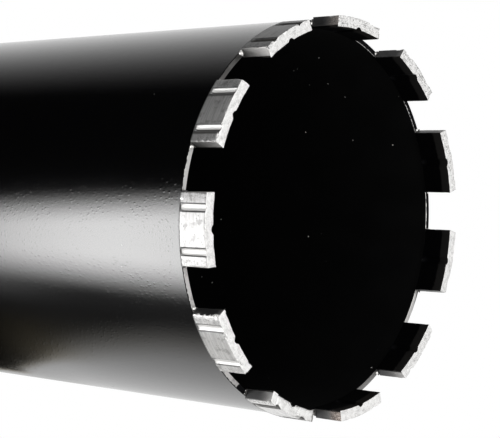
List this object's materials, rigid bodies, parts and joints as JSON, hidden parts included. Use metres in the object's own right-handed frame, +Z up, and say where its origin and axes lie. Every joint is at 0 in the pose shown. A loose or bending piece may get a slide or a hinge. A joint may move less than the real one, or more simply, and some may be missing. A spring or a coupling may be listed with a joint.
{
  "type": "diamond core bit",
  "caption": "Long black steel barrel with grooved diamond cutting segments welded round its open mouth, closed by an end plate with a threaded coupling hub.",
  "frame": {"origin": "centre of the coupling hub's end face, on the barrel's axis, where the bit stands", "axes": "+Z runs up the barrel's axis from the hub to the cutting segments, and +X passes through the middle of segment_01"},
  "size_m": [0.1415, 0.142, 0.505],
  "materials": {
    "black_paint": "semi-gloss black paint on drawn steel tube, faint orange peel",
    "sintered_segment": "sintered metal and diamond grit, ground bare on the outside, open and rough on the front face",
    "weld_bead": "laser weld, dull grey with small bright beads",
    "painted_weld": "rippled weld bead under black paint",
    "hub_steel": "turned steel, black painted outside, bare in the thread and on the end face"
  },
  "bodies": {
    "root": {"barrel_tube": "black_paint", "end_plate": "black_paint", "end_plate_weld": "painted_weld", "coupling_hub": "hub_steel", "hub_weld": "painted_weld", "segment_01": "sintered_segment", "segment_02": "sintered_segment", "segment_03": "sintered_segment", "segment_04": "sintered_segment", "segment_05": "sintered_segment", "segment_06": "sintered_segment", "segment_07": "sintered_segment", "segment_08": "sintered_segment", "segment_09": "sintered_segment", "segment_10": "sintered_segment", "segment_11": "sintered_segment", "segment_weld_01": "weld_bead", "segment_weld_02": "weld_bead", "segment_weld_03": "weld_bead", "segment_weld_04": "weld_bead", "segment_weld_05": "weld_bead", "segment_weld_06": "weld_bead", "segment_weld_07": "weld_bead", "segment_weld_08": "weld_bead", "segment_weld_09": "weld_bead", "segment_weld_10": "weld_bead", "segment_weld_11": "weld_bead"}
  },
  "joints": []
}
